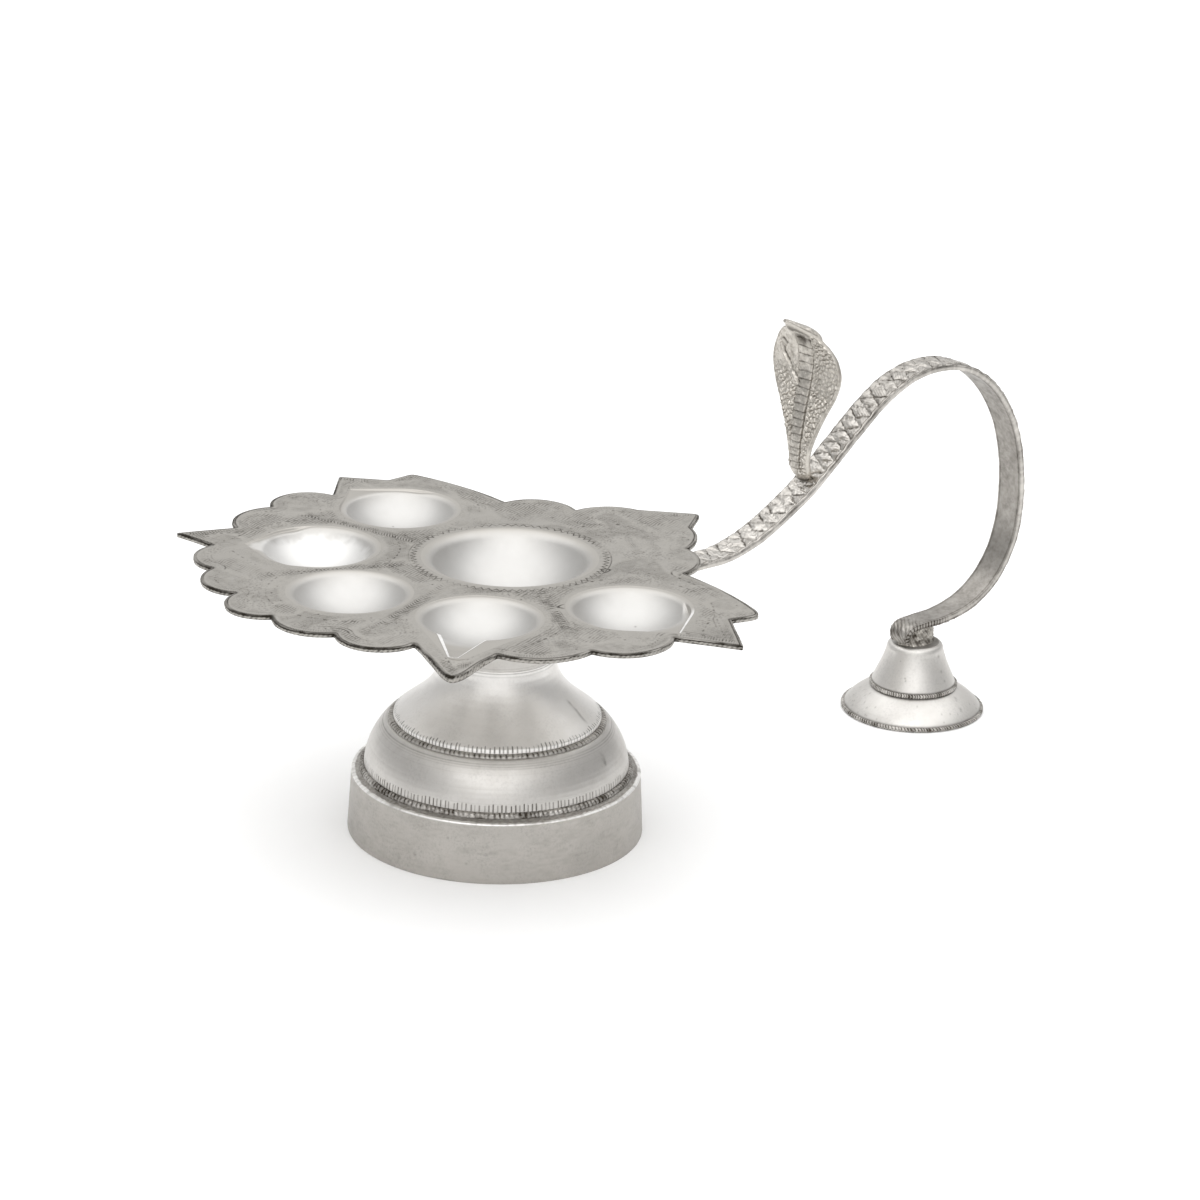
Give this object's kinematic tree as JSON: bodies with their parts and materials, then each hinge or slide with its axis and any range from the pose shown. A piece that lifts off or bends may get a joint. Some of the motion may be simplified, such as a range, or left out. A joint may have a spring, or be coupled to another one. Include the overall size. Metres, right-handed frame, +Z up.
{
  "type": "aarti lamp",
  "caption": "Silver hand lamp for aarti: a scalloped leaf plate of wick cups round a bowl on a hollow pedestal, with a curved snake strap handle that ends on a bell foot.",
  "frame": {"origin": "on the floor, on the pedestal's axis", "axes": "+X from the pedestal's axis out along the handle, +Z up, +Y to the side"},
  "size_m": [0.2018, 0.1238, 0.0948],
  "materials": {
    "plate_silver": "matte chased silver with hand-punched lines",
    "polished_silver": "burnished silver",
    "spun_silver": "satin spun silver with fine lathe lines",
    "bead_silver": "knurled silver wire, darkened in the hollows",
    "strap_silver": "silver strap with raised scales on the outer face",
    "cast_silver": "cast silver, darkened in the hollows",
    "foot_silver": "satin spun silver"
  },
  "bodies": {
    "root": {"leaf_plate": "plate_silver", "wick_cup_front": "polished_silver", "wick_cup_front_left": "polished_silver", "wick_cup_front_right": "polished_silver", "wick_cup_left": "polished_silver", "wick_cup_right": "polished_silver", "centre_bowl": "polished_silver", "neck_collar": "spun_silver", "pedestal_neck": "spun_silver", "upper_bead_ring": "bead_silver", "pedestal_dome": "spun_silver", "lower_bead_ring": "bead_silver", "base_drum": "spun_silver", "handle_strap": "strap_silver", "cobra_hood": "cast_silver", "foot_collar": "cast_silver", "foot_bell": "foot_silver", "foot_mid_bead": "bead_silver", "foot_rim_bead": "bead_silver"}
  },
  "joints": []
}
